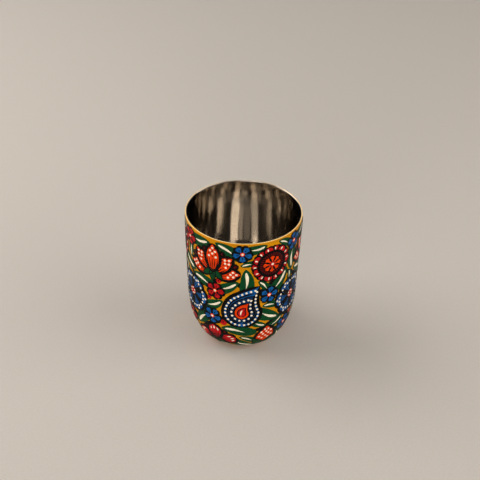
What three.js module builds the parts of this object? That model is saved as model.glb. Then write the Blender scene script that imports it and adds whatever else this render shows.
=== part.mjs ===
// A single-wall stainless steel drinking tumbler, painted by hand on the outside.
// A drawn steel cup carries a mustard ground coat, and the coat carries raised paint figures in three rows.
// Millimetres, +Z up, origin at the middle of the base. The front is -Y.
import * as THREE from "three";

// Steel cup, sizes over the bare steel
const RIM_DIAMETER = 75.5;
const HEIGHT = 93;
const WALL = 0.7;
const HEEL_DIAMETER = 72; // where the straight wall turns into the heel
const HEEL_HEIGHT = 38;
const BASE_DIAMETER = 41; // outer edge of the flat ring that it stands on
const RING_WIDTH = 4; // of that ring, inside which the middle of the base is raised
const KICK_HEIGHT = 1.2; // of the raised middle

// Ground coat
const COAT = 0.25;
const BARE_RIM = 0.6; // steel that shows above the coat
const BARE_FOOT = 1; // height above the table at which the coat stops

// Paint figures: films that lie on the coat
const FILM = 0.2;
const FILM_GAP = 0.25; // between the coat and a film, so that flat facets stay clear of the round coat
const LOTUS_WIDTH = 38;
const LOTUS_HEIGHT = 29;
const LOTUS_PETALS = 5;
const MARIGOLD_DIAMETER = 29;
const MARIGOLD_PETALS = 8;
const MARIGOLD_DIP = 0.12; // how far the edge goes in between petals, as a share of the radius
const PAISLEY_LENGTH = 33;
const PAISLEY_WIDTH = 25;
const BLOOM_DIAMETER = 31;
const BLOOM_PETALS = 6;
const BLOOM_DIP = 0.2;
const FAN_WIDTH = 32;
const FAN_HEIGHT = 19;
const FAN_PETALS = 3;
const BUD_WIDTH = 17;
const BUD_LENGTH = 19;

// Layout of the figures
const RIM_MARGIN = 3; // from the top of the coat to the first row
const ROW_GAP = 2;
const FIGURE_GAP = 3; // least gap between two figures of a row
const FOOT_MARGIN = 7; // bare ground below the last row
const FRONT_TURN = -120; // degrees round +Z to the first figure of the first row

// Facets
const SEGMENTS = 40;
const HEEL_STEPS = 8;
const RIM_STEPS = 4;
const PETAL_STEPS = 4;
const PAISLEY_STEPS = 9;
const BUD_STEPS = 6;
const FILM_FACET = 5; // widest facet of a film, so that it bends with the coat

const rimRadius = RIM_DIAMETER / 2;
const heelRadius = HEEL_DIAMETER / 2;
const baseRadius = BASE_DIAMETER / 2;
const kickRadius = baseRadius - RING_WIDTH;
const heelReach = heelRadius - baseRadius;
const wallRise = HEIGHT - HEEL_HEIGHT;

// A point of the straight wall at a height, moved out along the wall's normal
function wallPoint(z, out = 0) {
  const radius = heelRadius + ((rimRadius - heelRadius) * (z - HEEL_HEIGHT)) / wallRise;
  const normal = new THREE.Vector2(wallRise, heelRadius - rimRadius).normalize();
  return new THREE.Vector2(radius, z).addScaledVector(normal, out);
}

// A point of the heel, a quarter ellipse: turn 0 is at the base and a quarter turn is at the wall
function heelPoint(turn, out = 0) {
  const point = new THREE.Vector2(
    baseRadius + heelReach * Math.sin(turn),
    HEEL_HEIGHT * (1 - Math.cos(turn)),
  );
  const normal = new THREE.Vector2(
    HEEL_HEIGHT * Math.sin(turn),
    -heelReach * Math.cos(turn),
  ).normalize();
  return point.addScaledVector(normal, out);
}

const QUARTER = Math.PI / 2;
const footTurn = Math.acos(1 - BARE_FOOT / HEEL_HEIGHT); // where the coat stops on the heel

// The painted stretch of the outside, from the foot up to the rim
function paintedProfile(out, heelSteps = HEEL_STEPS) {
  const points = [];
  for (let i = 0; i < heelSteps; i++) {
    points.push(heelPoint(footTurn + ((QUARTER - footTurn) * i) / heelSteps, out));
  }
  points.push(wallPoint(HEEL_HEIGHT, out), wallPoint(HEIGHT - BARE_RIM, out));
  return points;
}

// Turns a profile of (radius, height) about +Z
function turned(profile) {
  return new THREE.LatheGeometry(profile, SEGMENTS).rotateX(QUARTER);
}

// The cup: base with its raised middle, outside, rounded rim, inside
function cupGeometry() {
  const mitre = WALL * Math.tan(Math.PI / 8); // the kick's slope is 45 degrees
  const profile = [
    new THREE.Vector2(0, KICK_HEIGHT),
    new THREE.Vector2(kickRadius - KICK_HEIGHT, KICK_HEIGHT),
    new THREE.Vector2(kickRadius, 0),
    heelPoint(0),
    heelPoint(footTurn / 2),
    ...paintedProfile(0),
  ];
  const lip = wallPoint(HEIGHT - WALL / 2);
  for (let i = 0; i <= RIM_STEPS; i++) {
    const turn = (Math.PI * i) / RIM_STEPS;
    profile.push(
      new THREE.Vector2(
        lip.x - (WALL / 2) * (1 - Math.cos(turn)),
        lip.y + (WALL / 2) * Math.sin(turn),
      ),
    );
  }
  profile.push(wallPoint(HEEL_HEIGHT, -WALL));
  for (let i = HEEL_STEPS - 1; i >= 0; i--) {
    profile.push(heelPoint((QUARTER * i) / HEEL_STEPS, -WALL));
  }
  profile.push(
    new THREE.Vector2(kickRadius + mitre, WALL),
    new THREE.Vector2(kickRadius + mitre - KICK_HEIGHT, KICK_HEIGHT + WALL),
    new THREE.Vector2(0, KICK_HEIGHT + WALL),
  );
  return turned(profile);
}

// The ground coat: its inside is the painted stretch of the steel itself
function coatGeometry() {
  const inside = paintedProfile(0);
  const outside = paintedProfile(COAT);
  return turned([...outside, ...inside.reverse(), outside[0]]);
}

// The coat's outside as a fine line from its top edge down, with the distance along it
const SURFACE_STEPS = 64;
const surface = paintedProfile(COAT, SURFACE_STEPS).reverse();
const surfaceDrop = [0];
for (let i = 1; i < surface.length; i++) {
  surfaceDrop.push(surfaceDrop[i - 1] + surface[i].distanceTo(surface[i - 1]));
}
const coatLength = surfaceDrop[surfaceDrop.length - 1];

// The place on the coat's outside at a drop below its top edge
function surfaceAt(drop) {
  let i = 1;
  while (i < surface.length - 1 && surfaceDrop[i] < drop) {
    i++;
  }
  const along = surface[i].clone().sub(surface[i - 1]).normalize();
  const point = surface[i - 1].clone().addScaledVector(along, drop - surfaceDrop[i - 1]);
  const normal = new THREE.Vector2(-along.y, along.x);
  return { point, normal };
}

function onCoat(angle, drop, lift) {
  const { point, normal } = surfaceAt(drop);
  const seat = point.addScaledVector(normal, lift);
  return [seat.x * Math.cos(angle), seat.x * Math.sin(angle), seat.y];
}

// A flat figure {points, faces, edge} laid on the coat as a film. Its x runs round the cup and its y runs up.
function filmGeometry({ points, faces, edge }, angle, drop, stretch) {
  const positions = [];
  for (const lift of [FILM_GAP + FILM, FILM_GAP]) {
    for (const { x, y } of points) {
      const pointDrop = drop - y * stretch;
      const turn = x / surfaceAt(pointDrop).point.x;
      positions.push(...onCoat(angle + turn, pointDrop, lift));
    }
  }
  const under = points.length;
  const index = [];
  for (const [a, b, c] of faces) {
    index.push(a, b, c, under + a, under + c, under + b);
  }
  edge.forEach((a, i) => {
    const b = edge[(i + 1) % edge.length];
    index.push(a, under + a, under + b, a, under + b, b);
  });
  return new THREE.BufferGeometry()
    .setAttribute("position", new THREE.Float32BufferAttribute(positions, 3))
    .setIndex(index);
}

// A flat figure whose whole edge is seen from its middle, given as its edge points anticlockwise
function roundFigure(outline) {
  const corners = outline.length;
  const rings = Math.ceil(Math.max(...outline.map((corner) => corner.length())) / FILM_FACET);
  const points = [new THREE.Vector2(0, 0)];
  const faces = [];
  for (let ring = 1; ring <= rings; ring++) {
    for (const corner of outline) points.push(corner.clone().multiplyScalar(ring / rings));
  }
  const at = (ring, i) => 1 + (ring - 1) * corners + (i % corners);
  for (let i = 0; i < corners; i++) {
    faces.push([0, at(1, i), at(1, i + 1)]);
    for (let ring = 1; ring < rings; ring++) {
      faces.push([at(ring, i), at(ring + 1, i), at(ring + 1, i + 1)]);
      faces.push([at(ring, i), at(ring + 1, i + 1), at(ring, i + 1)]);
    }
  }
  const edge = outline.map((_, i) => at(rings, i));
  return { points, faces, edge };
}

// A flat figure along a spine, with a width at each share of it
function bladeFigure(steps, spine, widthAt, widest) {
  const across = Math.ceil(widest / FILM_FACET);
  const points = [];
  const faces = [];
  const NEAR = 1e-3; // share of the spine that gives its direction
  for (let i = 0; i <= steps; i++) {
    const share = (1 - Math.cos((Math.PI * i) / steps)) / 2; // closer together towards the ends
    const ahead = spine(share + NEAR).sub(spine(share - NEAR)).normalize();
    const side = new THREE.Vector2(ahead.y, -ahead.x);
    for (let j = 0; j <= across; j++) {
      points.push(spine(share).addScaledVector(side, widthAt(share) * (j / across - 0.5)));
    }
  }
  const at = (i, j) => i * (across + 1) + j;
  for (let i = 0; i < steps; i++) {
    for (let j = 0; j < across; j++) {
      faces.push([at(i, j), at(i, j + 1), at(i + 1, j + 1)]);
      faces.push([at(i, j), at(i + 1, j + 1), at(i + 1, j)]);
    }
  }
  const edge = [];
  for (let j = 0; j < across; j++) edge.push(at(0, j));
  for (let i = 0; i < steps; i++) edge.push(at(i, across));
  for (let j = across; j > 0; j--) edge.push(at(steps, j));
  for (let i = steps; i > 0; i--) edge.push(at(i, 0));
  return { points, faces, edge };
}

// A round flower with scalloped petals
function rosette(diameter, petals, dip) {
  const outline = [];
  for (let i = 0; i < petals * PETAL_STEPS; i++) {
    const turn = (2 * Math.PI * i) / (petals * PETAL_STEPS);
    const radius = (diameter / 2) * (1 - dip * (1 - Math.abs(Math.sin((petals * turn) / 2))));
    outline.push(new THREE.Vector2(radius * Math.cos(turn), radius * Math.sin(turn)));
  }
  return roundFigure(outline);
}

// An open flower seen from the side: pointed petals fan out above a small cup
function fanFlower(width, height, petals) {
  const SPREAD = 0.6 * Math.PI; // from the middle of the fan to its end on either side
  const CUP_SHARE = 0.3; // of the height that lies below the point the petals fan from
  const PETAL_EDGE = [0.76, 0.92, 1, 0.92]; // reach of a petal's valley, shoulder, tip and shoulder
  const CUP_EDGE = [0.76, 0.8, 0.9, 1, 0.9, 0.8]; // reach of the cup from one end of the fan to the other
  const outline = [];
  const addCorner = (turn, reach) => {
    const rise = height * (Math.sin(turn) > 0 ? 1 - CUP_SHARE : CUP_SHARE);
    outline.push(new THREE.Vector2(reach * Math.cos(turn) * (width / 2), reach * Math.sin(turn) * rise));
  };
  const petalTurn = (2 * SPREAD) / petals;
  for (let petal = 0; petal < petals; petal++) {
    PETAL_EDGE.forEach((reach, i) => {
      addCorner(QUARTER - SPREAD + petalTurn * (petal + i / PETAL_EDGE.length), reach);
    });
  }
  CUP_EDGE.forEach((reach, i) => {
    addCorner(QUARTER + SPREAD + (2 * (Math.PI - SPREAD) * i) / CUP_EDGE.length, reach);
  });
  return roundFigure(outline);
}

// A drop whose thin end curls to one side
function paisley(length, width) {
  const CURL = 0.36; // of the length, sideways at the thin end
  const ROUND_SHARE = 0.36; // of the length that the round end takes
  const TIP = 0.05; // of the width, left at either end
  const taperShare = (share) => Math.max(0, (share - ROUND_SHARE) / (1 - ROUND_SHARE));
  const spine = (share) => new THREE.Vector2(CURL * length * taperShare(share) ** 2, share * length);
  const widthAt = (share) => {
    const round = Math.sqrt(Math.max(0, 1 - (1 - share / ROUND_SHARE) ** 2));
    const taper = Math.cos(taperShare(share) * QUARTER);
    return width * Math.max(TIP, share < ROUND_SHARE ? round : taper);
  };
  return bladeFigure(PAISLEY_STEPS, spine, widthAt, width);
}

// A closed bud: a straight leaf shape, point up
function bud(length, width) {
  const LEAN = 0.8; // under 1, so that the widest place is below the middle
  const TIP = 0.05; // of the width, left at either end
  const spine = (share) => new THREE.Vector2(0, share * length);
  const widthAt = (share) => width * Math.max(TIP, Math.sin(Math.PI * share ** LEAN));
  return bladeFigure(BUD_STEPS, spine, widthAt, width);
}

const paint = (color, roughness = 0.45) =>
  new THREE.MeshStandardMaterial({ color, roughness, metalness: 0 });
const steel = new THREE.MeshStandardMaterial({ color: 0xc8c3ba, roughness: 0.16, metalness: 1 });
const mustard = paint(0xbf8413, 0.5);
const orange = paint(0xd2440c);
const red = paint(0xa2161b);
const blue = paint(0x1a5a97);

// A shape with its name and paint, moved so that the middle of its box is the origin
function figure(name, material, shape) {
  const box = new THREE.Box2().setFromPoints(shape.points);
  const middle = box.getCenter(new THREE.Vector2());
  for (const point of shape.points) point.sub(middle);
  return { name, material, shape, size: box.getSize(new THREE.Vector2()) };
}

// The rows from the rim down. Each repeat of a row holds its figures side by side.
const ROWS = [
  [
    figure("orange_lotus", orange, fanFlower(LOTUS_WIDTH, LOTUS_HEIGHT, LOTUS_PETALS)),
    figure("red_marigold", red, rosette(MARIGOLD_DIAMETER, MARIGOLD_PETALS, MARIGOLD_DIP)),
  ],
  [
    figure("blue_paisley", blue, paisley(PAISLEY_LENGTH, PAISLEY_WIDTH)),
    figure("blue_bloom", blue, rosette(BLOOM_DIAMETER, BLOOM_PETALS, BLOOM_DIP)),
  ],
  [
    figure("red_fan", red, fanFlower(FAN_WIDTH, FAN_HEIGHT, FAN_PETALS)),
    figure("orange_bud", orange, bud(BUD_LENGTH, BUD_WIDTH)),
  ],
];

const tumbler = new THREE.Group();

function addPiece(name, geometry, material) {
  const mesh = new THREE.Mesh(geometry, material);
  mesh.name = name;
  tumbler.add(mesh);
}

// Lays the rows on the coat, stretched up and down to fill it, and every second one turned by half a step
function addFigures() {
  const heights = ROWS.map((figures) => Math.max(...figures.map((figure) => figure.size.y)));
  const drawn = heights.reduce((sum, height) => sum + height, 0);
  const room = coatLength - RIM_MARGIN - FOOT_MARGIN - ROW_GAP * (ROWS.length - 1);
  const stretch = room / drawn;
  let top = RIM_MARGIN;
  ROWS.forEach((figures, row) => {
    const height = heights[row] * stretch;
    const middle = top + height / 2;
    const round = 2 * Math.PI * surfaceAt(middle).point.x;
    const repeatWidth = figures.reduce((sum, figure) => sum + figure.size.x + FIGURE_GAP, 0);
    const repeats = Math.floor(round / repeatWidth);
    const step = (2 * Math.PI) / (repeats * figures.length);
    const start = THREE.MathUtils.degToRad(FRONT_TURN) + (row % 2) * (step / 2);
    for (let i = 0; i < repeats * figures.length; i++) {
      const { name, shape, material } = figures[i % figures.length];
      const copy = Math.floor(i / figures.length) + 1;
      addPiece(`${name}_${copy}`, filmGeometry(shape, start + step * i, middle, stretch), material);
    }
    top += height + ROW_GAP;
  });
}

addPiece("steel_cup", cupGeometry(), steel);
addPiece("ground_coat", coatGeometry(), mustard);
addFigures();

export default tumbler;
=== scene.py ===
"""Looks of the painted steel tumbler: fine steel, brushed coat, painted figures, studio and camera."""

import bisect
import itertools
import math
import random

import bpy
import numpy as np
from mathutils import Matrix, Vector, noise


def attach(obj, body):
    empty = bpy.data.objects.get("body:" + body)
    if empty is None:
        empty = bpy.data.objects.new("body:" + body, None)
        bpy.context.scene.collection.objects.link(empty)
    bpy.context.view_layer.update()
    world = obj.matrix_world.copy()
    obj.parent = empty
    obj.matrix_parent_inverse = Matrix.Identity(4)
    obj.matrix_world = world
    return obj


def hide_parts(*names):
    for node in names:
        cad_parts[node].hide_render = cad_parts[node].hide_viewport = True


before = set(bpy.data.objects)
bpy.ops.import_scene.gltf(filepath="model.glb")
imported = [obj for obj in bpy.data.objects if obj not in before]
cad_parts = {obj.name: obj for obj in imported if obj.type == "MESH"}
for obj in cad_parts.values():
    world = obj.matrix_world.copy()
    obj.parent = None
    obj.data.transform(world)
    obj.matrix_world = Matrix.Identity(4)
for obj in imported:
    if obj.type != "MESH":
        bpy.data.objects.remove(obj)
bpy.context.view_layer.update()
scene = bpy.context.scene

MM = 0.001
QUARTER = math.pi / 2
ORIGIN = Vector((0, 0))
HAND_SEED = 1  # of the strays of the painter's hand
GROUND_SEED = 3  # of the small things between the figures
noise.seed_set(HAND_SEED)

# Steel cup and ground coat, in millimetres, as the CAD nodes have them
RIM_RADIUS = 37.75
HEIGHT = 93.0
WALL = 0.7
HEEL_RADIUS = 36.0
HEEL_HEIGHT = 38.0
BASE_RADIUS = 20.5
RING_WIDTH = 4.0
KICK_HEIGHT = 1.2
KICK_FILLET = 0.5
COAT = 0.25
BARE_RIM = 0.6
BARE_FOOT = 1.0

# Facets of the two turned pieces
SEGMENTS = 256
HEEL_STEPS = 48
WALL_STEPS = 6
LIP_STEPS = 10
FILLET_STEPS = 6
SHARP_EDGE = math.radians(40)  # on all pieces

# Paint films, in millimetres above the coat
STEM_LIFT = 0.03
LEAF_LIFT = 0.08
LEAF_RISE = 0.04  # of a leaf's slash or a berry's eye above its film
FILL_LIFT = 0.15
LAYER_LIFT = 0.08  # of each petal that overlaps another
LINE_RISE = 0.06  # of a black line above its film
LIGHT_RISE = 0.08  # of a cream dot or dash above its film
EDGE_DROP = 0.03  # how far a film falls off towards its edge
STROKE_EDGE = 0.5  # height of a stroke's edge as a share of its middle's
BED = 0.1  # how far a film's underside is sunk into the coat

# Facets of the paint films, fine enough to follow the round wall
FILM_FACET = 1.6  # the widest across a filled film, about
DISC_RING = 2.0
PETAL_STEPS = 14
STROKE_SHARES = (-1.0, -0.6, 0.0, 0.6, 1.0)  # across a stroke
FINE_SHARES = (-1.0, 0.0, 1.0)  # across a stroke no wider than FINE_STROKE
FINE_STROKE = 1.4

# Usual widths of lines and radius of dots, in millimetres
OUTLINE = 2.0
FINE_LINE = 0.62
DASH = 1.2
VINE = 3.2
STEM = 2.0
DOT = 0.8
SPECK = 0.08  # its length as a share of the petal's

# The painter's hand
WOBBLE = 0.25  # how far it strays, in millimetres
WOBBLE_RATE = 0.15  # strays per millimetre
WOBBLE_STEP = 7.3  # between the strays of one figure and the next
PRESS = 0.22  # share by which a stroke's width varies
PRESS_RATE = 0.3
PRESS_STEP = 3.1
THIN_END = 0.22  # width of a tapered end as a share of the stroke's
TILT = math.radians(4)  # of a figure at most
TILT_STEP = 1.7
BRUSH_SHIFT = 50.0  # millimetres at most between the brush marks of two films
BRUSH_STEP = 0.37

# Dots and specks on petals: shares of the half width to the right, and of the length
LOTUS_DOTS = ((-0.45, 0.56), (0.45, 0.56), (0.0, 0.66), (-0.4, 0.75), (0.4, 0.75), (0.0, 0.86))
LOTUS_SPECKS = ((0.0, 0.57), (-0.5, 0.66), (0.5, 0.66), (0.0, 0.76), (-0.5, 0.85), (0.5, 0.85))
BLOOM_DOTS = ((-0.66, 0.68), (-0.24, 0.74), (0.24, 0.74), (0.66, 0.68), (0.0, 0.89))
BLOOM_SPECKS = ((-0.45, 0.73), (0.0, 0.77), (0.45, 0.73), (-0.4, 0.87), (0.4, 0.87))
BLOOM_ARC = (-0.85, -0.5, -0.17, 0.17, 0.5, 0.85)

# Vines under the leaves and figures
VINES = ((33.5, 5.0), (67.5, 4.0))  # drop and swing of each
VINE_WAVES = 6
VINE_SEED = 40

# Small flowers, leaves and berries between the figures, in millimetres
ROSETTES = (6.4,)  # radii
LONG_LEAVES = (24.0, 22.0, 20.0, 18.0, 16.0, 14.0, 12.0)
SHORT_LEAVES = (10.0, 9.0, 8.0)
LEAF_WIDTH = 0.4  # share of its length
LONG_TUCK = (0.24, 0.48)  # shares of a leaf without a stem that a figure hides, at least and at most
SHORT_TUCK = (0.16, 0.3)
LEAF_LEANS = 18  # ways for a leaf or a berry's stem to lean
STEM_REACH = 4.0
STEM_LEAN = 0.6  # of a leaf's stem from the leaf
BERRIES = (2.8, 2.4, 2.0, 1.7)  # radii
BERRY_STEM = 5.5  # from the berry's middle
SHOWN = 0.55  # share of a leaf's or berry's half width that no figure hides
SMALL_SEED = 100
RIM_BAND = 0.8  # left free of leaves below the rim
FOOT_BAND = 2.0  # left free of leaves above the foot
CLEARANCE = 0.1  # round each film

# Paints, as 0 to 255 levels
COLOURS = {
    "orange": (216, 58, 4),
    "red": (174, 16, 22),
    "crimson": (84, 6, 8),
    "blue": (10, 84, 150),
    "navy": (6, 40, 78),
    "green": (4, 62, 31),
    "cream": (238, 226, 204),
    "black": (5, 5, 5),
}
MUSTARD = (192, 128, 3)
LIP_HIGHLIGHT_ON_THIN_COAT = (240, 206, 138)  # painted highlight at the top of the lip, where the coat also thins out

# CAD films that the paints replace
REPLACED = {
    "orange": ("orange_lotus", "orange_bud"),
    "red": ("red_marigold", "red_fan"),
    "blue": ("blue_paisley", "blue_bloom"),
}

PAINT_GLOSS = 0.06  # specular level
WHITE = (1.0, 1.0, 1.0)

# Softboxes: degrees to the right from the front and degrees up, metres away, wide and high, and watts
LAMPS = {
    "key_left": (-105, 36, 1.0, 0.95, 0.75, 8.0),
    "back": (-158, 36, 1.4, 0.75, 0.8, 2.0),
    "back_right": (150, 36, 1.4, 1.1, 0.8, 1.4),
    "right": (85, 40, 1.1, 0.9, 0.7, 3.0),
    "right_low": (74, 24.5, 1.1, 1.3, 0.25, 3.9),
    "front_middle": (0, 25, 1.3, 1.7, 0.25, 2.4),
    "front_low": (-12, 9, 1.3, 1.0, 0.35, 9.0),
    "overhead": (-10, 76, 1.3, 0.9, 0.9, 1.0),
}
LAMP_COLOUR = (1.0, 0.94, 0.86)
CEILING = (0.07, 0.065, 0.06, 1.0)

# Camera, fitted to the rim and the outline in the photograph
IMAGE_SIDE = 480
FOCAL_PIXELS = 1100
CAMERA_DISTANCE = 0.736  # metres to the middle of the tumbler
CAMERA_ELEVATION = math.radians(36.05)
CAMERA_ROLL = math.radians(1.48)
MIDDLE_RIGHT = 3.03  # pixels from the image's middle to the tumbler's middle
MIDDLE_DOWN = 28.8

STEEL_BOUNCES = 8  # of light inside the cup before it comes out
DENOISER_GUIDES = "RGB_ALBEDO"  # without normals, because those of what the steel mirrors are grainy


def wall_point(z, out=0.0):
    """A point (radius, z) of the straight wall's outside, moved out along its normal."""
    rise = HEIGHT - HEEL_HEIGHT
    radius = HEEL_RADIUS + (RIM_RADIUS - HEEL_RADIUS) * (z - HEEL_HEIGHT) / rise
    normal = Vector((rise, HEEL_RADIUS - RIM_RADIUS)).normalized()
    return Vector((radius, z)) + normal * out


def heel_point(turn, out=0.0):
    """A point of the heel, a quarter ellipse from turn 0 at the base up to the wall."""
    reach = HEEL_RADIUS - BASE_RADIUS
    point = Vector((BASE_RADIUS + reach * math.sin(turn), HEEL_HEIGHT * (1 - math.cos(turn))))
    normal = Vector((HEEL_HEIGHT * math.sin(turn), -reach * math.cos(turn))).normalized()
    return point + normal * out


FOOT_TURN = math.acos(1 - BARE_FOOT / HEEL_HEIGHT)
LIP_TOP = HEIGHT - WALL / 2
LIP_MIDDLE = wall_point(LIP_TOP) - Vector((WALL / 2, 0))


def painted_line(out=0.0):
    """The painted outside, from the top edge of the coat down to its foot."""
    top = HEIGHT - BARE_RIM
    line = [wall_point(top + (HEEL_HEIGHT - top) * i / WALL_STEPS, out) for i in range(WALL_STEPS)]
    for i in range(HEEL_STEPS + 1):
        line.append(heel_point(QUARTER + (FOOT_TURN - QUARTER) * i / HEEL_STEPS, out))
    return line


def path_lengths(path):
    """The distance along a path to each of its points."""
    lengths = [0.0]
    for a, b in zip(path, path[1:]):
        lengths.append(lengths[-1] + (b - a).length)
    return lengths


def find_step(marks, value):
    """The step between rising marks that a value lies in, and its share of that step."""
    i = min(max(bisect.bisect(marks, value), 1), len(marks) - 1)
    return i, (value - marks[i - 1]) / (marks[i] - marks[i - 1])


def polar(lean, reach):
    """The point at a reach from the origin, leaning right from straight up."""
    return Vector((math.sin(lean), math.cos(lean))) * reach


def turns(count, start=0.0):
    """Even angles round a circle, the first of them a share of a step from zero."""
    return [2 * math.pi * (i + start) / count for i in range(count)]


LEANS = turns(LEAF_LEANS)


class CoatSurface:
    """The outside of the coat, by the angle and the drop along it from its top edge."""

    def __init__(self):
        self.line = painted_line(COAT)
        self.normals = [(far - near).normalized() for near, far in zip(self.line, painted_line(COAT + 1))]
        self.drops = path_lengths(self.line)
        self.radii = [point.x for point in self.line]
        self.depths = [-point.y for point in self.line]

    def seat(self, angle, drop, lift):
        """The place in space, in metres, at a lift off the coat."""
        i, share = find_step(self.drops, drop)
        place = self.line[i - 1].lerp(self.line[i], share)
        place += self.normals[i - 1].lerp(self.normals[i], share).normalized() * lift
        return Vector((place.x * math.cos(angle), place.x * math.sin(angle), place.y)) * MM

    def drop_at(self, z):
        return float(np.interp(-z, self.depths, self.drops))

    def radius(self, drop):
        return np.interp(drop, self.drops, self.radii)


coat = CoatSurface()


class Ground:
    """Which of the coat is still bare, as a grid of cells round it and down it."""

    CELL = 0.4  # millimetres
    SPACING = 3  # cells from one place that is tried to the next
    FACE_POINTS = 4  # marked along each side of a face
    MARGIN_POINTS = 8  # marked round each of those

    def __init__(self):
        self.columns = round(2 * math.pi * RIM_RADIUS / self.CELL)
        self.rows = round(coat.drops[-1] / self.CELL)
        self.figures = np.zeros((self.rows, self.columns), bool)
        self.taken = ~self.figures
        self.open_rows = slice(round(RIM_BAND / self.CELL), self.rows - round(FOOT_BAND / self.CELL))
        self.taken[self.open_rows] = False
        shares = np.linspace(0, 1, self.FACE_POINTS)
        weights = [((1 - u) * (1 - v), u * (1 - v), u * v, (1 - u) * v) for u in shares for v in shares]
        self.patch = np.array(weights)
        self.margin = [polar(turn, CLEARANCE) for turn in turns(self.MARGIN_POINTS)]

    def cells(self, angles, drops):
        rows = np.clip(np.floor(drops / self.CELL).astype(int), 0, self.rows - 1)
        columns = np.floor(angles / (2 * math.pi) * self.columns).astype(int) % self.columns
        return rows, columns

    def mark(self, places, faces):
        """Takes the cells on and near a film's faces. Its places are angles and drops."""
        corners = np.array(places)[[(face + face[-1:])[:4] for face in faces]]
        angles, drops = np.einsum("sc,fcp->psf", self.patch, corners).reshape(2, -1)
        radii = coat.radius(drops)
        for x, y in self.margin:
            self.taken[self.cells(angles + x / radii, drops + y)] = True

    def look_up(self, cells, angle, drop, shapes):
        """The state of the cells under shapes at a place, each an array of x and y."""
        drops = drop - shapes[..., 1]
        return cells[self.cells(angle + shapes[..., 0] / coat.radius(drops), drops)]

    def free(self, angle, drop, shapes):
        """Which shapes would lie on bare ground."""
        return ~self.look_up(self.taken, angle, drop, shapes).any(axis=-1)

    def clear(self, angle, drop, shapes):
        """Which shapes would lie on bare ground or behind the figures."""
        small_things = self.taken & ~self.figures
        return ~self.look_up(small_things, angle, drop, shapes).any(axis=-1)

    def hidden(self, angle, drop, shapes):
        """Which shapes would lie behind the figures."""
        return self.look_up(self.figures, angle, drop, shapes).all(axis=-1)

    def keep_figures(self):
        """Notes what is taken as the figures', for leaves to sprout from behind."""
        self.figures[self.open_rows] = self.taken[self.open_rows]

    def bare_places(self, rng):
        """An angle and a drop in every few bare cells, in a shuffled order."""
        places = []
        for row, column in zip(*np.nonzero(~self.taken[:: self.SPACING, :: self.SPACING])):
            angle = (column * self.SPACING + 0.5) / self.columns * 2 * math.pi
            places.append((angle, (row * self.SPACING + 0.5) * self.CELL))
        rng.shuffle(places)
        return places


ground = Ground()


class Spot:
    """A place on the coat to draw at: x runs right and y runs up from its middle, in millimetres."""

    def __init__(self, angle, drop, width=0.0, height=0.0, seed=0, tilt=0.0):
        self.angle = angle
        self.drop = drop
        self.width = width
        self.height = height
        self.seed = seed
        self.turn = Matrix.Rotation(tilt, 2)

    def unroll(self, point):
        """The angle and the drop of a drawn point, with the stray of the painter's hand."""
        place = Vector((point.x, point.y, WOBBLE_STEP * self.seed)) * WOBBLE_RATE
        stray = noise.noise_vector(place) * WOBBLE
        x, y = self.turn @ point
        drop = self.drop - y - stray.y
        return self.angle + (x + stray.x) / coat.radius(drop), drop


class Paint:
    """Closed films of one colour. A point's uv is its place along and across its stroke."""

    def __init__(self):
        self.points = []
        self.uvs = []
        self.faces = []

    def add(self, spot, points, lifts, uvs, faces, claims):
        """One film, from its top faces. A film that claims its ground keeps leaves off it."""
        first = len(self.points)
        under = first + len(points)
        places = [spot.unroll(point) for point in points]
        if claims:
            ground.mark(places, faces)
        self.points += [coat.seat(*place, lift) for place, lift in zip(places, lifts)]
        self.points += [coat.seat(*place, -BED) for place in places]
        shift = BRUSH_SHIFT * noise.noise(Vector((first * BRUSH_STEP, spot.seed, 0.5)))
        self.uvs += [(u + shift, v + shift) for u, v in uvs] * 2
        for face in faces:
            self.faces.append([first + i for i in face])
            self.faces.append([under + i for i in reversed(face)])
        edges = [edge for face in faces for edge in zip(face, face[1:] + face[:1])]
        reverses = {(b, a) for a, b in edges}
        for a, b in edges:
            if (a, b) not in reverses:
                self.faces.append([first + a, under + a, under + b, first + b])


paints = {colour: Paint() for colour in COLOURS}


def add_object(name, data):
    made = bpy.data.objects.new(name, data)
    scene.collection.objects.link(made)
    return made


def make_piece(name, points, faces, uvs, material):
    """A smooth mesh object that rides on the tumbler."""
    mesh = bpy.data.meshes.new(name)
    mesh.from_pydata(points, [], faces)
    layer = mesh.uv_layers.new(name="brush")
    for loop in mesh.loops:
        layer.data[loop.index].uv = uvs[loop.vertex_index]
    mesh.shade_smooth()
    mesh.set_sharp_from_angle(angle=SHARP_EDGE)
    mesh.materials.append(material)
    piece = add_object(name, mesh)
    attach(piece, "root")
    return piece


def level(layer):
    """The lift of a figure's film."""
    return FILL_LIFT + layer * LAYER_LIFT


def swell(share, start, end):
    """A share of a blade's full width. An exponent of 0.5 rounds that end and 1 points it."""
    peak = start / (start + end)
    return (share / peak) ** start * ((1 - share) / (1 - peak)) ** end


def side_vectors(path, closed=False):
    """The unit vector to the right at each point of a path."""
    count = len(path)
    sides = []
    for i in range(count):
        before = path[i - 1] if closed or i > 0 else path[0]
        after = path[(i + 1) % count] if closed or i < count - 1 else path[-1]
        ahead = (after - before).normalized()
        sides.append(Vector((ahead.y, -ahead.x)))
    return sides


def grid_faces(rows, columns, loop_rows=False, loop_columns=False, first=0):
    """Faces between rows of points, which may loop in either direction."""
    faces = []
    for i in range(rows if loop_rows else rows - 1):
        here = first + i * columns
        there = first + (i + 1) % rows * columns
        for j in range(columns if loop_columns else columns - 1):
            after = (j + 1) % columns
            faces.append([here + j, there + j, there + after, here + after])
    return faces


def disc_faces(rings, sides):
    """Faces between a middle point and the rings of points round it."""
    fan = [[0, 1 + i, 1 + (i + 1) % sides] for i in range(sides)]
    return fan + grid_faces(rings, sides, loop_columns=True, first=1)


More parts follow.
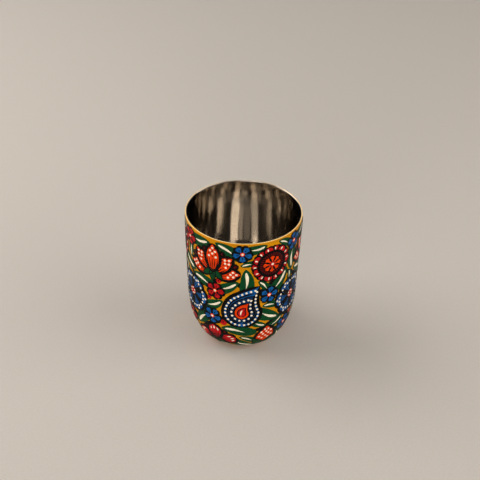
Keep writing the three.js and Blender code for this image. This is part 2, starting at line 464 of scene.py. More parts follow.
class Blade:
    """A petal, leaf or drop: a spine with half widths, in steps that are shorter towards its ends."""

    LEAST = 0.06  # half width at the very ends

    def __init__(self, spine_at, width_at, steps):
        self.shares = [(1 - math.cos(math.pi * i / steps)) / 2 for i in range(steps + 1)]
        self.spine = [spine_at(share) for share in self.shares]
        self.halves = [max(self.LEAST, width_at(share) / 2) for share in self.shares]
        self.sides = side_vectors(self.spine)

    def at(self, across, share):
        """The point at a share of the spine, and right of it by a share of the half width."""
        i, part = find_step(self.shares, share)
        near = self.spine[i - 1] + self.sides[i - 1] * self.halves[i - 1] * across
        far = self.spine[i] + self.sides[i] * self.halves[i] * across
        return near.lerp(far, part)

    def edge(self, side):
        """The left edge, for -1, or the right edge."""
        return [p + s * half * side for p, s, half in zip(self.spine, self.sides, self.halves)]

    def line(self, across, start, end, steps=5):
        return [self.at(across, start + (end - start) * i / steps) for i in range(steps + 1)]


def petal(base, tip, width, ends, bend=0.0, steps=PETAL_STEPS):
    """A blade from its base to its tip, bent to the right. Its ends are the exponents of swell."""
    across = Vector((tip.y - base.y, base.x - tip.x)).normalized()
    return Blade(
        lambda share: base.lerp(tip, share) + across * bend * math.sin(math.pi * share),
        lambda share: width * swell(share, *ends),
        steps,
    )


def leaning_petal(heart, lean, reach, width, ends, steps=PETAL_STEPS):
    """A petal from a flower's heart, with its lean to the right in degrees."""
    return petal(heart, heart + polar(math.radians(lean), reach), width, ends, steps=steps)


def outward_petal(lean, start, end, width, ends, steps=PETAL_STEPS):
    """A petal that points away from the middle of a round flower."""
    return petal(polar(lean, start), polar(lean, end), width, ends, steps=steps)


def lay_strip(colour, spot, path, halves, profile, closed=False, claims=False):
    """A film along a path, with a profile of (share of the half width, lift) from left to right."""
    sides = side_vectors(path, closed)
    points, lifts, uvs = [], [], []
    for point, side, half, along in zip(path, sides, halves, path_lengths(path)):
        for across, lift in profile:
            points.append(point + side * half * across)
            lifts.append(lift)
            uvs.append((along, half * across))
    undersides = grid_faces(len(path), len(profile), loop_rows=closed)
    faces = [face[:1] + face[:0:-1] for face in undersides]  # turned over
    paints[colour].add(spot, points, lifts, uvs, faces, claims)


def lay_blade(colour, spot, blade, lift):
    """A filled petal or leaf, level in the middle and lower at its very edges."""
    least_count = 3
    half_count = max(least_count, math.ceil(max(blade.halves) / FILM_FACET))
    shares = [math.sin(QUARTER * i / half_count) for i in range(-half_count, half_count + 1)]
    profile = [(share, lift - EDGE_DROP * share**6) for share in shares]
    lay_strip(colour, spot, blade.spine, blade.halves, profile, claims=True)


def lay_stroke(colour, spot, path, width, base, rise, taper=0.0, closed=False, claims=False):
    """A brush stroke with a round back. Taper is the share that thins out at either end."""
    lengths = path_lengths(path)
    halves = []
    for along in lengths:
        share = along / lengths[-1]
        press = 1 + PRESS * noise.noise(Vector((along * PRESS_RATE, spot.seed * PRESS_STEP, width)))
        thin = min(1.0, share / taper, (1 - share) / taper) if taper else 1.0
        halves.append(width / 2 * press * max(THIN_END, max(0.0, thin) ** 0.6))
    shares = STROKE_SHARES if width > FINE_STROKE else FINE_SHARES
    profile = []
    for share in shares:
        height = STROKE_EDGE + (1 - STROKE_EDGE) * (1 - share**2) ** 0.5
        profile.append((share, base + rise * height))
    lay_strip(colour, spot, path, halves, profile, closed, claims)


def lay_disc(colour, spot, middle, radius, base, rise, claims=False):
    """A round film with a domed edge: a dot, a berry or a flower's heart."""
    least_sides, sides_per_mm = 10, 6
    sides = max(least_sides, round(radius * sides_per_mm))
    rings = max(2, math.ceil(radius / DISC_RING))
    points, lifts, uvs = [middle.copy()], [base + rise], [(0.0, 0.0)]
    for ring in range(1, rings + 1):
        share = ring / rings
        for turn in turns(sides):
            offset = polar(-turn, radius * share)
            points.append(middle + offset)
            lifts.append(base + rise - EDGE_DROP * share**4)
            uvs.append(offset.to_tuple())
    paints[colour].add(spot, points, lifts, uvs, disc_faces(rings, sides), claims)


def draw_line(spot, path, width, layer, taper=0.0, closed=False, claims=False, colour="black"):
    """A line on a figure's film."""
    lay_stroke(colour, spot, path, width, level(layer), LINE_RISE, taper, closed, claims)


def draw_ring(spot, radius, width, layer):
    """A round outline."""
    least_sides, sides_per_mm = 20, 5
    sides = max(least_sides, round(radius * sides_per_mm))
    draw_line(spot, [polar(-turn, radius) for turn in turns(sides)], width, layer, closed=True)


def light_dot(spot, middle, layer, radius=DOT):
    lay_disc("cream", spot, middle, radius, level(layer), LIGHT_RISE)


def light_dots(spot, blade, layer, places):
    for across, share in places:
        light_dot(spot, blade.at(across, share), layer)


def outlined(colour, spot, blade, layer, line=OUTLINE):
    """A filled blade with a black stroke up each edge."""
    lay_blade(colour, spot, blade, level(layer))
    for side in (-1, 1):
        draw_line(spot, blade.edge(side), line, layer, taper=0.1, claims=True)


def hatch(spot, blade, layer, count, start, end, colour="black"):
    """Thin strokes side by side along a blade."""
    spread = 0.7
    for i in range(count):
        path = blade.line(spread * (2 * i / (count - 1) - 1), start, end)
        draw_line(spot, path, FINE_LINE, layer, taper=0.3, colour=colour)


def dash(spot, blade, layer, across, start, end, width=DASH):
    """A cream highlight along a blade."""
    lay_stroke("cream", spot, blade.line(across, start, end), width, level(layer), LIGHT_RISE, taper=0.4)


def specks(spot, blade, layer, places):
    """Short black dashes along a blade, between its dots."""
    for across, share in places:
        path = blade.line(across, share - SPECK / 2, share + SPECK / 2, steps=3)
        draw_line(spot, path, FINE_LINE, layer, taper=0.3)


def sepals(spot, heart, length, leans):
    """Green sepals below a flower, over its petals, with black edges."""
    for lean in leans:
        blade = leaning_petal(heart, lean, length, 0.52 * length, ends=(0.6, 0.9), steps=10)
        outlined("green", spot, blade, 3, FINE_LINE)


def draw_lotus(spot):
    """An open flower from the side: pointed petals above sepals, with darker ones behind."""
    heart = Vector((0, -0.26 * spot.height))
    low, high, top = 0.49 * spot.width, 0.66 * spot.height, 0.75 * spot.height
    for lean in (-64, -22, 22, 64):
        outlined("crimson", spot, leaning_petal(heart, lean, high, 0.2 * spot.width, ends=(0.8, 0.8)), 0)
    petals = ((86, low), (-86, low), (44, high), (-44, high), (0, top))
    for order, (lean, reach) in enumerate(petals):
        layer = 1 + order // 2
        blade = leaning_petal(heart, lean, reach, 0.29 * spot.width, ends=(0.75, 0.72))
        outlined("orange", spot, blade, layer)
        hatch(spot, blade, layer, count=5, start=0.1, end=0.5)
        light_dots(spot, blade, layer, LOTUS_DOTS)
        specks(spot, blade, layer, LOTUS_SPECKS)
    sepals(spot, heart + Vector((0, 2)), 0.32 * spot.height, leans=(130, 230, 180))


def draw_marigold(spot):
    """A round flower from above: two rings of lobes, a hatched ring and a dotted heart."""
    radius = spot.width / 2
    disc = 0.68 * radius
    lobes, rays, inner_lobes = 14, 30, 8
    for order, lean in enumerate(turns(lobes, 0.5)):
        blade = outward_petal(lean, 0.45 * radius, radius, 0.5 * radius, ends=(0.8, 0.42), steps=12)
        outlined("red", spot, blade, order % 2, line=1.2)
        dash(spot, blade, order % 2, across=-0.2, start=0.58, end=0.86)
    lay_disc("crimson", spot, ORIGIN, disc, 0.0, level(2))
    draw_ring(spot, disc, OUTLINE, 2)
    for lean in turns(rays):
        path = [polar(lean, reach * radius) for reach in (0.4, 0.48, 0.56, 0.64)]
        draw_line(spot, path, FINE_LINE, 2, taper=0.3)
    for lean in turns(inner_lobes):
        blade = outward_petal(lean, 0.1 * radius, 0.46 * radius, 0.3 * radius, ends=(0.8, 0.45), steps=10)
        outlined("orange", spot, blade, 3, line=0.7)
    lay_disc("red", spot, ORIGIN, 0.15 * radius, 0.0, level(4))
    light_dot(spot, ORIGIN, 4, radius=0.9)


def paisley_blade(spot, scale=1.0):
    """A drop whose thin end curls right. A smaller scale is a drop inside it, round its middle."""
    curl, round_share, stoutness, steps = 0.36, 0.36, 25 / 33, 32
    length = spot.height
    width = stoutness * length
    corner = Vector((-(curl * length - width / 2) / 2, -length / 2))
    middle = corner + Vector((0, round_share * length))

    def thin_share(share):
        return max(0.0, (share - round_share) / (1 - round_share))

    def spine_at(share):
        point = corner + Vector((curl * length * thin_share(share) ** 2, share * length))
        return middle + (point - middle) * scale

    def width_at(share):
        swelling = math.sqrt(max(0.0, 1 - (1 - share / round_share) ** 2))
        thinning = math.cos(thin_share(share) * QUARTER)
        return scale * width * (swelling if share < round_share else thinning)

    return Blade(spine_at, width_at, steps)


def dot_loop(spot, blade, spacing, layer):
    """Cream dots at even steps round the edge of a blade."""
    loop = blade.edge(1) + blade.edge(-1)[::-1]
    lengths = path_lengths(loop)
    count = round(lengths[-1] / spacing)
    for k in range(count):
        i, part = find_step(lengths, lengths[-1] * (k + 0.5) / count)
        light_dot(spot, loop[i - 1].lerp(loop[i], part), layer)


def draw_paisley(spot):
    """A curled drop: a dotted border round a darker drop, and a bright one in its middle."""
    outlined("blue", spot, paisley_blade(spot), 0, line=2.4)
    dot_loop(spot, paisley_blade(spot, 0.86), spacing=3.0, layer=0)
    for scale in (0.78, 0.74):
        for side in (-1, 1):
            draw_line(spot, paisley_blade(spot, scale).edge(side), FINE_LINE, 0, taper=0.08)
    outlined("navy", spot, paisley_blade(spot, 0.66), 1, line=1.0)
    dot_loop(spot, paisley_blade(spot, 0.53), spacing=3.2, layer=1)
    outlined("orange", spot, paisley_blade(spot, 0.4), 2, line=1.0)
    core = paisley_blade(spot, 0.22)
    outlined("red", spot, core, 3, line=0.7)
    dash(spot, core, 3, across=-0.2, start=0.2, end=0.7)


def draw_bloom(spot):
    """A round flower from above with six broad petals."""
    radius = spot.width / 2
    heart = 0.25 * radius
    petals = 6
    lay_disc("navy", spot, ORIGIN, 0.66 * radius, 0.0, level(0))
    for lean in turns(petals, 0.5):
        blade = outward_petal(lean, 0.12 * radius, radius, 0.9 * radius, ends=(0.8, 0.4), steps=18)
        outlined("blue", spot, blade, 1)
        hatch(spot, blade, 1, count=6, start=0.2, end=0.58)
        arc = [blade.at(across, 0.62 - 0.08 * across * across) for across in BLOOM_ARC]
        draw_line(spot, arc, width=0.8, layer=1, taper=0.1)
        light_dots(spot, blade, 1, BLOOM_DOTS)
        specks(spot, blade, 1, BLOOM_SPECKS)
    lay_disc("red", spot, ORIGIN, heart, 0.0, level(2))
    draw_ring(spot, heart, width=1.0, layer=2)
    for lean in turns(petals):
        light_dot(spot, polar(lean, 0.15 * radius), 2, radius=0.6)


def draw_fan(spot):
    """A half-open flower: three broad petals above its sepals, with darker ones behind."""
    heart = Vector((0, -0.34 * spot.height))
    side, back, top = 0.5 * spot.width, 0.76 * spot.height, 0.84 * spot.height
    for lean in (-34, 34):
        outlined("crimson", spot, leaning_petal(heart, lean, back, 0.24 * spot.width, ends=(0.8, 0.7)), 0)
    for order, (lean, reach) in enumerate(((-68, side), (68, side), (0, top))):
        layer = 1 + order // 2
        blade = leaning_petal(heart, lean, reach, 0.36 * spot.width, ends=(0.8, 0.5))
        outlined("red", spot, blade, layer)
        hatch(spot, blade, layer, count=7, start=0.1, end=0.54)
        for across, start in ((-0.45, 0.66), (0.05, 0.72), (0.5, 0.66)):
            dash(spot, blade, layer, across, start, start + 0.17, width=1.1)
    sepals(spot, heart + Vector((0, 1.5)), 0.34 * spot.height, leans=(120, 240, 180))


def draw_bud(spot):
    """A closed bud with rows of dots, held by two sepals."""
    base = Vector((0, -0.5 * spot.height))
    tip = Vector((0, 0.5 * spot.height))
    blade = petal(base, tip, 0.9 * spot.width, ends=(0.6, 0.8))
    outlined("orange", spot, blade, 0)
    rows, pair, three = 5, (-0.3, 0.3), (-0.62, 0.0, 0.62)
    for row in range(rows):
        share = 0.34 + 0.12 * row
        dots, gaps = (three, pair) if row % 2 else (pair, three)
        light_dots(spot, blade, 0, [(across, share) for across in dots])
        specks(spot, blade, 0, [(across, share) for across in gaps])
    for side in (-1, 1):
        sepal_tip = base + polar(side * 0.8, 0.62 * spot.height)
        sepal = petal(base, sepal_tip, 0.3 * spot.width, ends=(0.6, 1.0), bend=side * 1.5)
        outlined("green", spot, sepal, 2, FINE_LINE)


FIGURES = {
    "orange_lotus": draw_lotus,
    "red_marigold": draw_marigold,
    "blue_paisley": draw_paisley,
    "blue_bloom": draw_bloom,
    "red_fan": draw_fan,
    "orange_bud": draw_bud,
}


def kind_of(node):
    return node.rsplit("_", 1)[0]


def spot_of(node, seed):
    """The place on the coat that a CAD paint film takes."""
    points = [vertex.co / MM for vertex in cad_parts[node].data.vertices]
    middle = sum(points, Vector()) / len(points)
    facing = math.atan2(middle.y, middle.x)
    offsets = [math.remainder(math.atan2(p.y, p.x) - facing, 2 * math.pi) for p in points]
    drops = [coat.drop_at(p.z) for p in points]
    drop = (min(drops) + max(drops)) / 2
    width = (max(offsets) - min(offsets)) * coat.radius(drop)
    angle = facing + (max(offsets) + min(offsets)) / 2
    height = max(drops) - min(drops)
    tilt = TILT * noise.noise(Vector((seed * TILT_STEP, 0.5, 0.5)))
    return Spot(round(angle, 4), round(drop, 2), round(width, 2), round(height, 2), seed, tilt)


def draw_figures():
    """Draws each figure where its CAD film lies."""
    nodes = sorted(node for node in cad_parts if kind_of(node) in FIGURES)
    for seed, node in enumerate(nodes):
        FIGURES[kind_of(node)](spot_of(node, seed))


def draw_vines():
    """Black stems round the tumbler in waves, under the leaves and figures."""
    steps = 20
    pitch = 2 * math.pi / VINE_WAVES
    angles = [pitch * (i / steps - 0.5) for i in range(steps + 1)]
    for seed, (drop, swing) in enumerate(VINES, VINE_SEED):
        heights = [swing * math.sin(VINE_WAVES * angle) for angle in angles]
        path = [Vector((angle * coat.radius(drop - y), y)) for angle, y in zip(angles, heights)]
        for k in range(VINE_WAVES):
            lay_stroke("black", Spot(k * pitch, drop, seed=seed), path, VINE, 0.0, STEM_LIFT)


def leaf_blade(lean, length):
    tip = polar(lean, length / 2)
    return petal(-tip, tip, LEAF_WIDTH * length, ends=(0.5, 0.66), bend=0.05 * length, steps=18)


def leaf_foot(lean, length):
    """The end of a leaf's stem."""
    return polar(lean, -length / 2) - polar(lean + STEM_LEAN, STEM_REACH)


def leaf_samples(lean, length, start, end, spread=0.95):
    """Points over a stretch of a leaf and a share of its width."""
    rows, columns = 11, 5  # over a whole leaf
    blade = leaf_blade(lean, length)
    acrosses = np.linspace(-spread, spread, columns)
    shares = np.linspace(start, end, math.ceil((end - start) * rows))
    return [blade.at(across, share) for share in shares for across in acrosses]


def draw_leaf(spot, lean, length, stemmed):
    """A green leaf with a cream slash, and a black stem unless it sprouts from behind a figure."""
    blade = leaf_blade(lean, length)
    lay_blade("green", spot, blade, LEAF_LIFT)
    start = blade.at(across=-0.15, share=0.34)
    end = blade.at(across=-0.05, share=0.9)
    slash = petal(start, end, 0.085 * length, ends=(1.1, 0.5), bend=0.04 * length, steps=8)
    lay_blade("cream", spot, slash, LEAF_LIFT + LEAF_RISE)
    if not stemmed:
        return
    base = blade.spine[0]
    elbow = base - polar(lean, STEM_REACH / 2)
    foot = leaf_foot(lean, length)
    steps = 8
    shares = [i / steps for i in range(steps + 1)]
    stem = [base.lerp(elbow, s).lerp(elbow.lerp(foot, s), s) for s in shares]
    lay_stroke("black", spot, stem, STEM, 0.0, STEM_LIFT, taper=0.15)


def draw_berry(spot, radius):
    """A red berry with a dark eye, on a black stem if a figure is near for it to sprout from."""
    feet = np.array([[polar(lean, BERRY_STEM)] for lean in LEANS])
    behind = np.nonzero(ground.hidden(spot.angle, spot.drop, feet))[0]
    if len(behind):
        lean = LEANS[behind[0]]
        stem = [polar(lean, BERRY_STEM * share) for share in (0.2, 0.5, 0.8, 1.1)]
        lay_stroke("black", spot, stem, STEM, 0.0, STEM_LIFT)
    eye = 0.3 * radius
    lay_disc("red", spot, ORIGIN, radius, 0.0, LEAF_LIFT, claims=True)
    lay_disc("crimson", spot, Vector((0, eye)), eye, LEAF_LIFT, LEAF_RISE)


rosette_colours = itertools.cycle(("blue", "red"))


def draw_rosette(spot, radius):
    """A small flower with five petals and a cream heart, in the next colour."""
    petals = 5
    colour = next(rosette_colours)
    vein = "crimson" if colour == "red" else "black"
    for order, lean in enumerate(turns(petals)):
        blade = outward_petal(lean, 0.1 * radius, radius, 0.85 * radius, ends=(0.8, 0.42))
        outlined(colour, spot, blade, order % 2, line=1.4)
        hatch(spot, blade, order % 2, count=3, start=0.3, end=0.66, colour=vein)
    lay_disc("orange", spot, ORIGIN, 0.24 * radius, 0.0, level(2))
    light_dot(spot, ORIGIN, 2)


def scatter_discs(rng, radii, seeds, draw, shown, tilt):
    """Draws something round on bare ground, the largest first, tilted by a chance of up to tilt."""
    sides = 16
    for radius in radii:
        shape = np.array([polar(turn, radius) for turn in turns(sides)])
        for angle, drop in ground.bare_places(rng):
            if ground.free(angle, drop, shape * shown) and ground.clear(angle, drop, shape):
                draw(Spot(angle, drop, seed=next(seeds), tilt=rng.uniform(-tilt, tilt)), radius)


def scatter_leaves(rng, lengths, seeds, tuck):
    """Draws leaves on bare ground, the longest first. Each or its stem sprouts from behind a figure."""
    least, most = tuck
    for length in lengths:
        bases, blades, middles = [
            np.array([leaf_samples(lean, length, *stretch) for lean in LEANS])
            for stretch in ((0.0, least), (most, 1.0), (most, 1.0, SHOWN))
        ]
        feet = np.array([[leaf_foot(lean, length)] for lean in LEANS])
        for angle, drop in ground.bare_places(rng):
            open_blades = ground.free(angle, drop, middles) & ground.clear(angle, drop, blades)
            if not open_blades.any():
                continue
            behind = ground.hidden(angle, drop, bases)
            stemmed = ground.free(angle, drop, bases) & ground.hidden(angle, drop, feet)
            choices = np.nonzero(open_blades & (behind | stemmed))[0]
            if len(choices):
                pick = rng.choice(choices)
                draw_leaf(Spot(angle, drop, seed=next(seeds)), LEANS[pick], length, not behind[pick])


def fill_ground(rng):
    """Small flowers, leaves and berries on the ground that the figures leave bare."""
    seeds = itertools.count(SMALL_SEED)
    scatter_discs(rng, ROSETTES, seeds, draw_rosette, shown=1.0, tilt=1.0)
    ground.keep_figures()
    scatter_leaves(rng, LONG_LEAVES, seeds, LONG_TUCK)
    scatter_discs(rng, BERRIES, seeds, draw_berry, shown=SHOWN, tilt=0.0)
    scatter_leaves(rng, SHORT_LEAVES, seeds, SHORT_TUCK)


draw_figures()
draw_vines()
fill_ground(random.Random(GROUND_SEED))


def rounded_corner(before, corner, after, radius=KICK_FILLET):
    """The arc that rounds a corner of a profile."""
    to_before = (before - corner).normalized()
    to_after = (after - corner).normalized()
    half = to_before.angle(to_after) / 2
    middle = corner + (to_before + to_after).normalized() * radius / math.sin(half)
    reach = radius / math.tan(half)
    start = (corner + to_before * reach - middle).normalized()
    end = (corner + to_after * reach - middle).normalized()
    return [middle + start.slerp(end, i / FILLET_STEPS) * radius for i in range(FILLET_STEPS + 1)]


def cup_profile(_angle):
    """The steel from the middle of its underside, over the lip and down to its floor."""
    kick = BASE_RADIUS - RING_WIDTH
    mitre = WALL * math.tan(math.pi / 8)
    under = [
        Vector((0, KICK_HEIGHT)),
        Vector((kick - KICK_HEIGHT, KICK_HEIGHT)),
        Vector((kick, 0)),
        heel_point(0),
    ]
    floor = [
        heel_point(0, -WALL),
        Vector((kick + mitre, WALL)),
        Vector((kick + mitre - KICK_HEIGHT, KICK_HEIGHT + WALL)),
        Vector((0, KICK_HEIGHT + WALL)),
    ]
    profile = [under[0]]
    for corner in zip(under, under[1:], under[2:]):
        profile += rounded_corner(*corner)
    profile += [heel_point(QUARTER * i / HEEL_STEPS) for i in range(HEEL_STEPS)]
    rise = LIP_TOP - HEEL_HEIGHT
    profile += [wall_point(HEEL_HEIGHT + rise * i / WALL_STEPS) for i in range(WALL_STEPS)]
    for i in range(LIP_STEPS + 1):
        turn = math.pi * i / LIP_STEPS
        profile.append(LIP_MIDDLE + Vector((math.cos(turn), math.sin(turn))) * WALL / 2)
    profile += [wall_point(LIP_TOP - rise * i / WALL_STEPS, -WALL) for i in range(1, WALL_STEPS + 1)]
    profile += [heel_point(QUARTER * (1 - i / HEEL_STEPS), -WALL) for i in range(1, HEEL_STEPS)]
    for corner in zip(floor, floor[1:], floor[2:]):
        profile += rounded_corner(*corner)
    profile.append(floor[-1])
    return profile


def coat_profile(angle):
    """The ground coat: an outside that creeps over the lip, and an inside sunk into the steel."""
    around = Vector((math.cos(angle), math.sin(angle), 0.0))
    front, more_at_sides, less_at_back, stray = 52, 46, 24, 14  # degrees round the lip
    creep = front + more_at_sides * abs(around.x) ** 0.7 - less_at_back * max(0.0, around.y) ** 6
    creep = math.radians(creep + stray * noise.noise(around * 4))
    over_lip, under_lip = [], []
    for i in range(LIP_STEPS + 1):
        share = i / LIP_STEPS
        ray = Vector((math.cos(creep * share), math.sin(creep * share)))
        over_lip.append(LIP_MIDDLE + ray * (WALL / 2 + COAT * (1 - share**2)))
        under_lip.append(LIP_MIDDLE + ray * (WALL / 2 - BED))
    feather = Vector((0.15, 0.05))  # how far its foot thins out, in and down
    foot_edge = heel_point(FOOT_TURN, COAT / 2) - feather
    return [foot_edge] + painted_line(COAT)[::-1] + over_lip + under_lip[::-1] + painted_line(-BED)


def turned_mesh(name, profile_at, material, closed):
    """A profile turned about Z. An open profile starts and ends on the axis."""
    points, uvs, poles = [], [], []
    for angle in turns(SEGMENTS):
        profile = profile_at(angle)
        if not closed:
            poles = [profile[0], profile[-1]]
            profile = profile[1:-1]
        for radius, z in profile:
            points.append(Vector((radius * math.cos(angle), radius * math.sin(angle), z)) * MM)
            uvs.append((angle, z))
    count = len(profile)
    faces = grid_faces(SEGMENTS, count, loop_rows=True, loop_columns=closed)
    for pole, row in zip(poles, (0, count - 1)):
        centre = len(points)
        points.append(Vector((0, 0, pole.y)) * MM)
        uvs.append((0.0, pole.y))
        for i in range(SEGMENTS):
            pair = [i * count + row, (i + 1) % SEGMENTS * count + row]
            faces.append([centre] + (pair if row else pair[::-1]))
    return make_piece(name, points, faces, uvs, material)


class Nodes:
    """A node material: its tree, its shader and short ways to add and link nodes."""

    def __init__(self, name):
        self.material = bpy.data.materials.new(name)
        self.material.use_nodes = True
        self.tree = self.material.node_tree
        self.shader = self.tree.nodes["Principled BSDF"]

    def fill(self, socket, value):
        """Sets a socket to a value, or links it from another socket."""
        if isinstance(value, bpy.types.NodeSocket):
            self.tree.links.new(value, socket)
        else:
            socket.default_value = value

    def add(self, kind, inputs=None, output=0, **settings):
        """An output of a new node. Its inputs are values or sockets to link from."""
        node = self.tree.nodes.new(kind)
        for key, value in settings.items():
            setattr(node, key, value)
        for key, value in (inputs or {}).items():
            self.fill(node.inputs[key], value)
        return node.outputs[output]

    def shade(self, **inputs):
        """Sets or links the shader's inputs, with _ for a space in their names."""
        for key, value in inputs.items():
            self.fill(self.shader.inputs[key.replace("_", " ")], value)

    def noise(self, vector, scale=1.0, detail=3.0):
        return self.add("ShaderNodeTexNoise", {"Vector": vector, "Scale": scale, "Detail": detail}, "Fac")

    def ramp(self, factor, *stops):
        """A colour ramp with stops of (position, colour)."""
        ramped = self.add("ShaderNodeValToRGB", {"Fac": factor})
        elements = ramped.node.color_ramp.elements
        while len(elements) < len(stops):
            elements.new(0.5)
        for element, (position, colour) in zip(elements, stops):
            element.position = position
            element.color = (*colour, 1.0)
        return ramped

    def spread(self, factor, low, high):
        """A factor of 0.25 to 0.75 spread over a range."""
        inputs = {"Value": factor, "From Min": 0.25, "From Max": 0.75, "To Min": low, "To Max": high}
        return self.add("ShaderNodeMapRange", inputs)

    def relief(self, height, distance, strength):
        return self.add("ShaderNodeBump", {"Height": height, "Distance": distance, "Strength": strength})

    def product(self, a, b):
        return self.add("ShaderNodeVectorMath", {0: a, 1: b}, operation="MULTIPLY")

    def place(self):
        return self.add("ShaderNodeTexCoord", output="Object")

    def round_axis(self, slow, fast):
        """Coordinates in cycles per metre, slow round the axis and fast along the profile."""
        place = self.place()
        flat = self.product(place, (1.0, 1.0, 0.0))
        radius = self.add("ShaderNodeVectorMath", {0: flat}, "Value", operation="LENGTH")
        rise = self.add("ShaderNodeSeparateXYZ", {0: place}, "Z")
        along = self.add("ShaderNodeMath", {0: radius, 1: rise}, operation="ADD")
        x, y, _ = self.add("ShaderNodeSeparateXYZ", {0: flat}).node.outputs
        joined = self.add("ShaderNodeCombineXYZ", {"X": x, "Y": y, "Z": along})
        return self.product(joined, (slow, slow, fast))

    def near_rim(self, colour, pale):
        """A colour that turns pale at the top of the lip, as a painted highlight."""
        rise = self.add("ShaderNodeSeparateXYZ", {0: self.place()}, "Z")
        start, end = (HEIGHT - 0.35) * MM, (HEIGHT - 0.05) * MM
        share = self.add("ShaderNodeMapRange", {"Value": rise, "From Min": start, "From Max": end})
        return self.add("ShaderNodeMix", {0: share, 6: colour, 7: (*pale, 1.0)}, 2, data_type="RGBA")


def to_linear(levels):
    """A colour given as 0 to 255 levels, made linear by the sRGB curve."""
    shares = [value / 255 for value in levels]
    return tuple(((s + 0.055) / 1.055) ** 2.4 if s > 0.04045 else s / 12.92 for s in shares)


def shades(levels, contrast):
    """A deep, a plain and a light shade of a colour given as 0 to 255 levels."""
    plain = to_linear(levels)
    deep = tuple(c * (1 - contrast) for c in plain)
    light = tuple(min(1.0, c * (1 + contrast) + 0.01 * contrast) for c in plain)
    return deep, plain, light


def paint_material(name, levels):
    """Satin paint with streaks along the stroke, thick and thin places and a slight relief."""
    nodes = Nodes(name)
    brush = nodes.add("ShaderNodeUVMap", uv_map="brush")  # millimetres along and across a stroke
    streaks = nodes.noise(nodes.product(brush, (0.16, 2.4, 1.0)), detail=4.0)
    pools = nodes.noise(brush, scale=0.22)
    deep, plain, light = shades(levels, contrast=0.28)
    body = nodes.ramp(streaks, (0.28, deep), (0.5, plain), (0.75, light))
    thickness = nodes.ramp(pools, (0.3, (0.82, 0.82, 0.82)), (0.65, WHITE))
    nodes.shade(
        Base_Color=nodes.product(body, thickness),
        Roughness=nodes.spread(streaks, low=0.36, high=0.52),
        Normal=nodes.relief(streaks, distance=0.04 * MM, strength=0.5),
        Specular_IOR_Level=PAINT_GLOSS,
    )
    return nodes.material


def coat_material():
    """The mustard ground: faint brush marks round it, uneven depth, and a painted highlight over the lip.
    """
    nodes = Nodes("mustard_paint")
    marks = nodes.noise(nodes.round_axis(slow=25.0, fast=900.0), detail=4.0)
    patches = nodes.noise(nodes.round_axis(slow=45.0, fast=90.0))
    deep, plain, light = shades(MUSTARD, contrast=0.16)
    body = nodes.ramp(marks, (0.3, deep), (0.5, plain), (0.7, light))
    depth = nodes.ramp(patches, (0.3, (0.86, 0.82, 0.75)), (0.65, WHITE))
    nodes.shade(
        # painted highlight: the base colour turns pale cream at the top of the lip
        Base_Color=nodes.near_rim(nodes.product(body, depth), to_linear(LIP_HIGHLIGHT_ON_THIN_COAT)),
        Roughness=nodes.spread(marks, low=0.4, high=0.54),
        Normal=nodes.relief(marks, distance=0.03 * MM, strength=0.4),
        Specular_IOR_Level=PAINT_GLOSS,
    )
    return nodes.material


def steel_material():
    """Steel with fine polishing rings, which smear reflections up and down the wall."""
    nodes = Nodes("polished_steel")
    rings = nodes.noise(nodes.round_axis(slow=20.0, fast=4000.0), detail=5.0)
    clouds = nodes.noise(nodes.round_axis(slow=60.0, fast=60.0))
    tangent = nodes.add("ShaderNodeTangent", direction_type="RADIAL", axis="Z")
    nodes.shade(
        Base_Color=nodes.ramp(clouds, (0.3, (0.63, 0.595, 0.55)), (0.7, (0.68, 0.645, 0.6))),
        Metallic=1.0,
        Roughness=nodes.spread(rings, low=0.06, high=0.08),
        Normal=nodes.relief(rings, distance=0.003 * MM, strength=0.3),
        Anisotropic=0.5,
        Anisotropic_Rotation=0.25,
        Tangent=tangent,
    )
    return nodes.material


def build_pieces():
    """The steel, the coat and one piece for each colour of paint."""
    cup = turned_mesh("steel_cup_fine", cup_profile, steel_material(), closed=False)
    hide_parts("steel_cup")
    base_coat = turned_mesh("ground_coat_fine", coat_profile, coat_material(), closed=True)
    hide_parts("ground_coat")
    for colour, paint in paints.items():
        material = paint_material(f"{colour}_paint", COLOURS[colour])
        piece = make_piece(f"{colour}_figures", paint.points, paint.faces, paint.uvs, material)
        if colour in REPLACED:
            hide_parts(*[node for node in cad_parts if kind_of(node) in REPLACED[colour]])


build_pieces()


def floor_material():
    """Pale card with a faint grain."""
    nodes = Nodes("studio_floor")
    grain = nodes.noise(nodes.place(), scale=900.0, detail=2.0)
    nodes.shade(
        Base_Color=nodes.ramp(grain, (0.3, (0.53, 0.505, 0.48)), (0.7, (0.57, 0.545, 0.52))),
        Roughness=0.9,
        Specular_IOR_Level=0.2,
    )
    return nodes.material


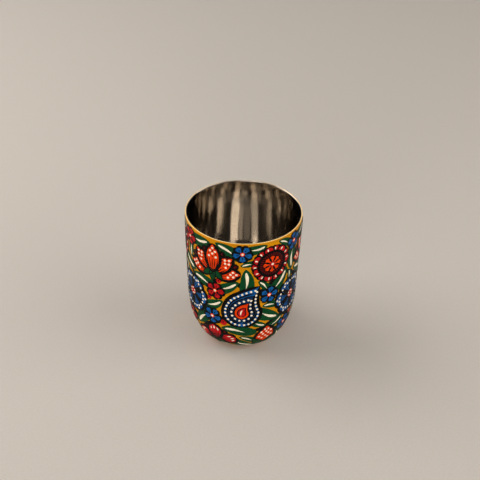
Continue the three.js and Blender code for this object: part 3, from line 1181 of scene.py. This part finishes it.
def build_studio():
    """A pale floor that sweeps up into a low round backdrop, under a dim ceiling."""
    middle_radius, floor_radius, sweep, backdrop_height = 0.3, 1.1, 0.4, 0.55
    steps, sides = 16, 96
    profile = [Vector((middle_radius, 0.0)), Vector((floor_radius, 0.0))]
    for i in range(1, steps + 1):
        turn = QUARTER * i / steps
        profile.append(Vector((floor_radius + sweep * math.sin(turn), sweep * (1 - math.cos(turn)))))
    profile.append(Vector((floor_radius + sweep, backdrop_height)))
    points = [Vector((0, 0, 0))]
    for radius, z in profile:
        for turn in turns(sides):
            points.append(Vector((radius * math.cos(turn), radius * math.sin(turn), z)))
    mesh = bpy.data.meshes.new("studio_floor")
    mesh.from_pydata(points, [], disc_faces(len(profile), sides))
    mesh.shade_smooth()
    mesh.materials.append(floor_material())
    floor = add_object("studio_floor", mesh)
    world = bpy.data.worlds.new("studio")
    world.use_nodes = True
    world.node_tree.nodes["Background"].inputs["Color"].default_value = CEILING
    scene.world = world


def light_studio():
    """Softboxes that face the tumbler's mouth. The steel shows them as bands."""
    for name, (azimuth, elevation, distance, width, height, power) in LAMPS.items():
        data = bpy.data.lights.new(name, "AREA")
        data.shape = "RECTANGLE"
        data.size = width
        data.size_y = height
        data.energy = power
        data.color = LAMP_COLOUR
        lamp = add_object(name, data)
        a, e = math.radians(azimuth), math.radians(elevation)
        away = Vector((math.sin(a) * math.cos(e), -math.cos(a) * math.cos(e), math.sin(e)))
        lamp.location = away * distance + Vector((0, 0, HEIGHT * MM))
        lamp.rotation_euler = away.to_track_quat("Z", "Y").to_euler()
        lamp.visible_camera = False


def aim_camera():
    """The camera of the photograph, from its distance, elevation, roll and aim."""
    data = bpy.data.cameras.new("camera")
    data.lens = FOCAL_PIXELS / IMAGE_SIDE * data.sensor_width
    camera = add_object("camera", data)
    offset = Vector((0, -math.cos(CAMERA_ELEVATION), math.sin(CAMERA_ELEVATION))) * CAMERA_DISTANCE
    straight = -offset.normalized()
    right = Vector((1, 0, 0))
    up = right.cross(straight)
    ahead = straight - right * (MIDDLE_RIGHT / FOCAL_PIXELS) + up * (MIDDLE_DOWN / FOCAL_PIXELS)
    turn = ahead.to_track_quat("-Z", "Y").to_matrix() @ Matrix.Rotation(CAMERA_ROLL, 3, "Z")
    middle = Vector((0, 0, HEIGHT / 2 * MM))
    camera.matrix_world = Matrix.Translation(middle + offset) @ turn.to_4x4()
    scene.camera = camera


build_studio()
light_studio()
aim_camera()
scene.view_settings.view_transform = "Standard"
scene.cycles.glossy_bounces = STEEL_BOUNCES
scene.cycles.denoising_input_passes = DENOISER_GUIDES
